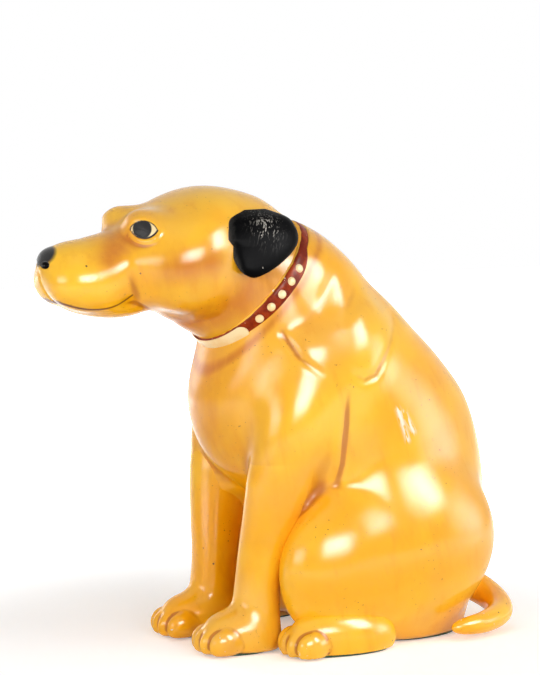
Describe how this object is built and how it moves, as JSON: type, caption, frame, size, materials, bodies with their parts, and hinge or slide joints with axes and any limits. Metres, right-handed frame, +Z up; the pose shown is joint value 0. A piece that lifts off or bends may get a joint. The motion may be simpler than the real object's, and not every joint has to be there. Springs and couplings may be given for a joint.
{
  "type": "seated dog figure",
  "caption": "Seated dog figure in glossy yellow painted plaster with drop ears and a studded collar, piece cast, hollow, standing on felts.",
  "frame": {"origin": "on the table, under the middle of the figure's bounding box", "axes": "+Z up, the dog faces -Y, its left side is +X, +Y along its length towards the tail"},
  "size_m": [0.197, 0.3888, 0.3568],
  "materials": {
    "yellow_paint": "gloss",
    "black_paint": "gloss",
    "collar_paint": "gloss",
    "cream_paint": "satin",
    "bare_plaster": "matte",
    "iron": "matte",
    "card": "matte",
    "felt": "matte"
  },
  "bodies": {
    "root": {"base_card": "card", "body_casting": "yellow_paint", "body_felt": "felt", "collar_band": "collar_paint", "collar_plate": "cream_paint", "collar_studs": "cream_paint", "forepaw_felts": "felt", "head_casting": "yellow_paint", "hind_foot_felts": "felt", "left_ear": "black_paint", "left_foreleg": "yellow_paint", "left_leg_rod": "iron", "neck_wad": "bare_plaster", "right_ear": "black_paint", "right_foreleg": "yellow_paint", "right_leg_rod": "iron", "tail": "yellow_paint", "tail_wire": "iron"}
  },
  "joints": []
}
